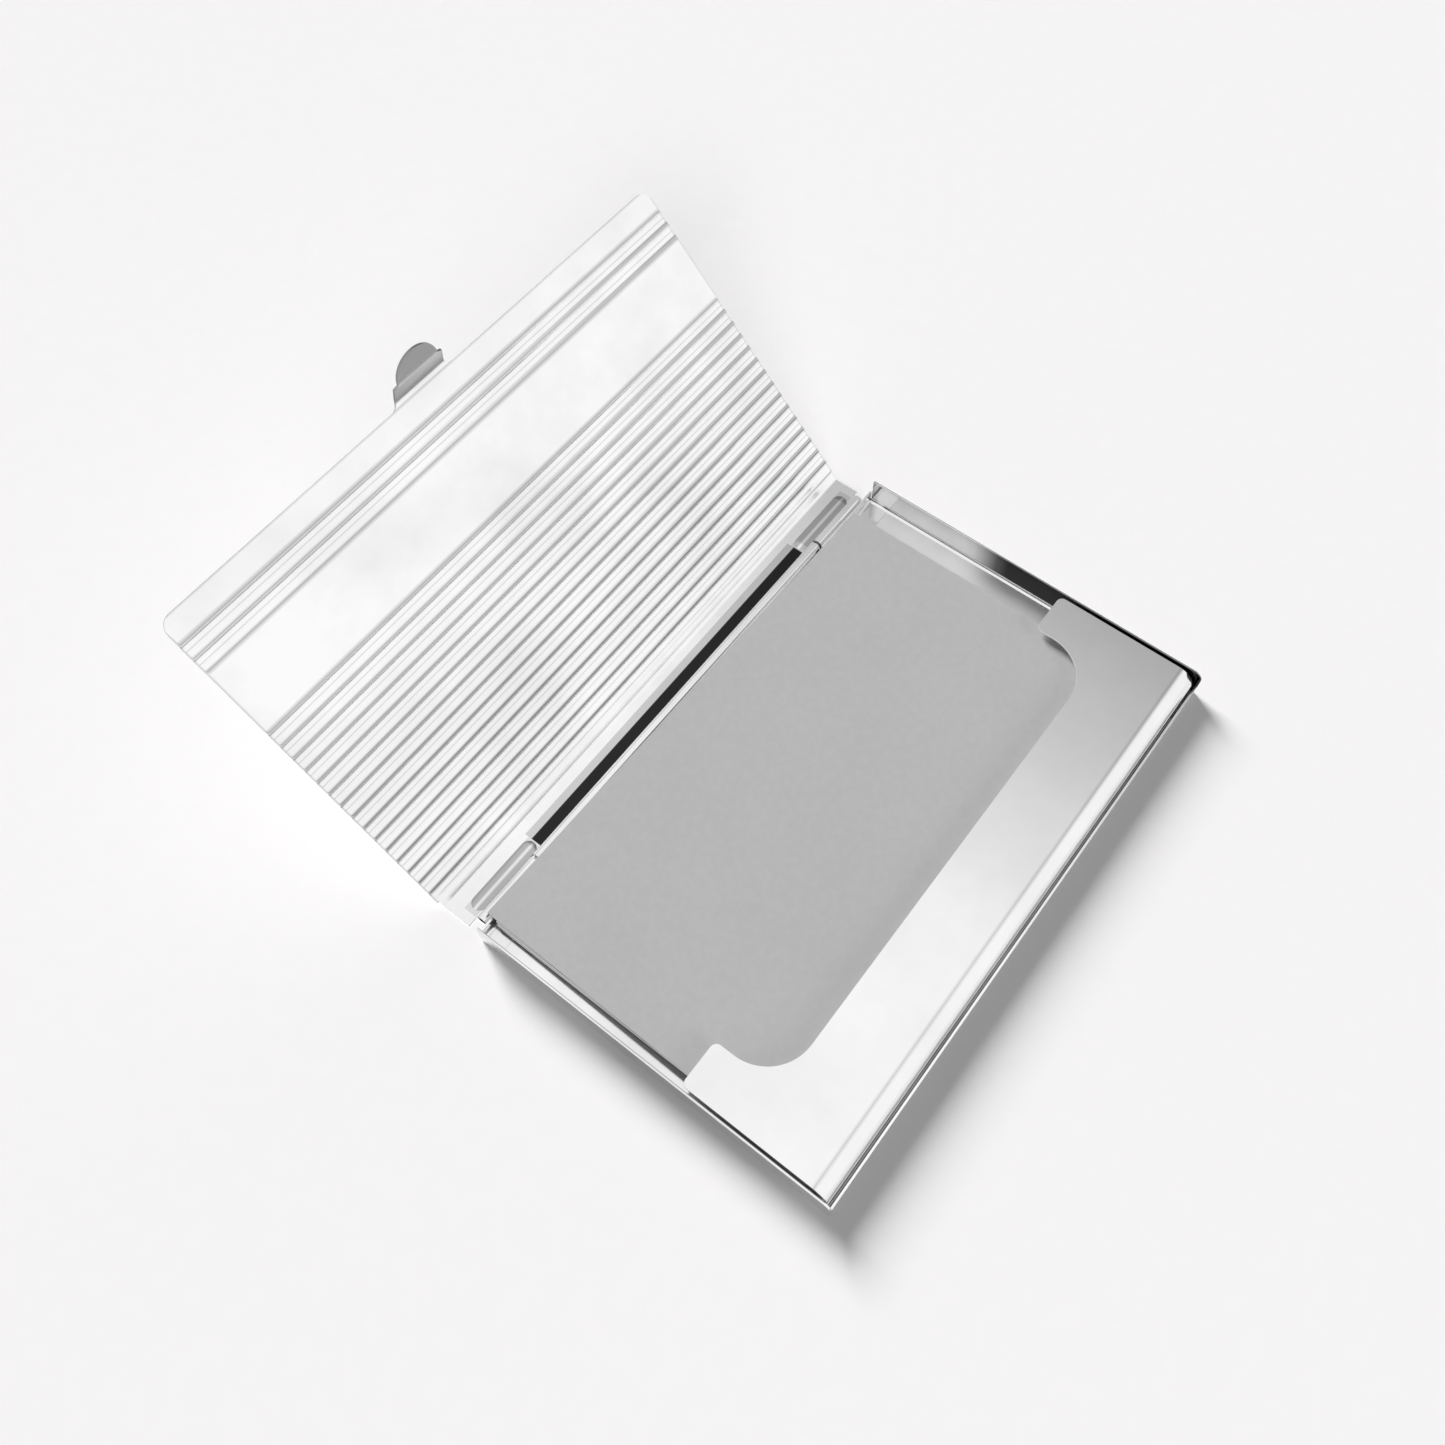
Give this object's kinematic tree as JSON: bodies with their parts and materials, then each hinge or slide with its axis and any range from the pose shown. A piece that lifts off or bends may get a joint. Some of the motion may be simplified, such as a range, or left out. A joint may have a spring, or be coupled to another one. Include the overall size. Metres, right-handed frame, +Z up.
{
  "type": "business card case",
  "caption": "Flat pressed-metal pocket case for business cards, with a ribbed hinged lid, thumb tab, notched card retainer and a stack of cards.",
  "frame": {"origin": "on the flat underside of the tray, midway between its side walls and midway between its front wall and the rear ends of its side walls", "axes": "+X along the hinge, +Y towards the hinge and the open lid, +Z up out of the tray"},
  "size_m": [0.094, 0.104, 0.0462],
  "materials": {
    "polished_steel": "polished pressed sheet with fine handling scratches",
    "pin_steel": "plain drawn wire",
    "card_stock": "matte uncoated grey card"
  },
  "bodies": {
    "base": {"tray": "polished_steel", "card_retainer": "polished_steel", "hinge_pin": "pin_steel", "card_01": "card_stock", "card_02": "card_stock", "card_03": "card_stock", "card_04": "card_stock", "card_05": "card_stock", "card_06": "card_stock", "card_07": "card_stock", "card_08": "card_stock", "card_09": "card_stock", "card_10": "card_stock"},
    "lid": {"lid": "polished_steel"},
    "top_card": {"card_top": "card_stock"}
  },
  "joints": [
    {"name": "lid_hinge", "type": "hinge", "parent": "base", "child": "lid", "pos_m": [0, 0.03095, 0.001], "axis": [1, 0, 0], "range_deg": [0, 133.9]},
    {"name": "top_card_slide", "type": "slide", "parent": "base", "child": "top_card", "axis": [0, 1, 0], "range_m": [-0.0015, 0]}
  ],
  "couplings": [
    {"joint": "top_card_slide", "follows": "lid_hinge", "m_per_rad": -0.000641}
  ]
}
